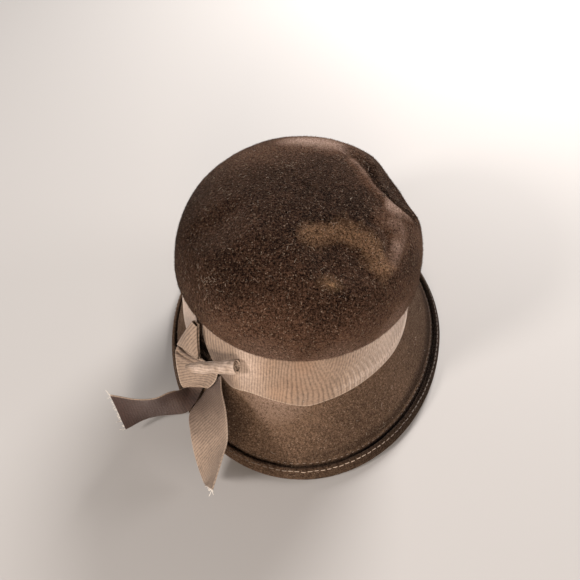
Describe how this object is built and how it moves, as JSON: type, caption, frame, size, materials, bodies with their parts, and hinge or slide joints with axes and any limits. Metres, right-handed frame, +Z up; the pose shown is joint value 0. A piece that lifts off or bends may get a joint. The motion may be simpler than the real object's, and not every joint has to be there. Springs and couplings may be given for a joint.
{
  "type": "cloche hat",
  "caption": "Domed felt hat with a deep sloping brim, a turned stitched edge, a ribbed ribbon round the crown and a flat side bow with stiff tails.",
  "frame": {"origin": "bottom centre of the whole object's box, on the surface that the rim rests on", "axes": "+Z up out of the crown; -Y is the side with the bow and the widest brim, +X is to the right when that side is faced"},
  "size_m": [0.2362, 0.3114, 0.1564],
  "materials": {
    "felt": "dark brown velour felt with a short nap",
    "grosgrain": "taupe ribbed ribbon, slightly lustrous"
  },
  "bodies": {
    "root": {"felt_body": "felt", "ribbon_band": "grosgrain", "bow_loop": "grosgrain", "knot_wrap": "grosgrain", "ribbon_roll": "grosgrain", "tail_side": "grosgrain", "tail_hanging": "grosgrain"}
  },
  "joints": []
}
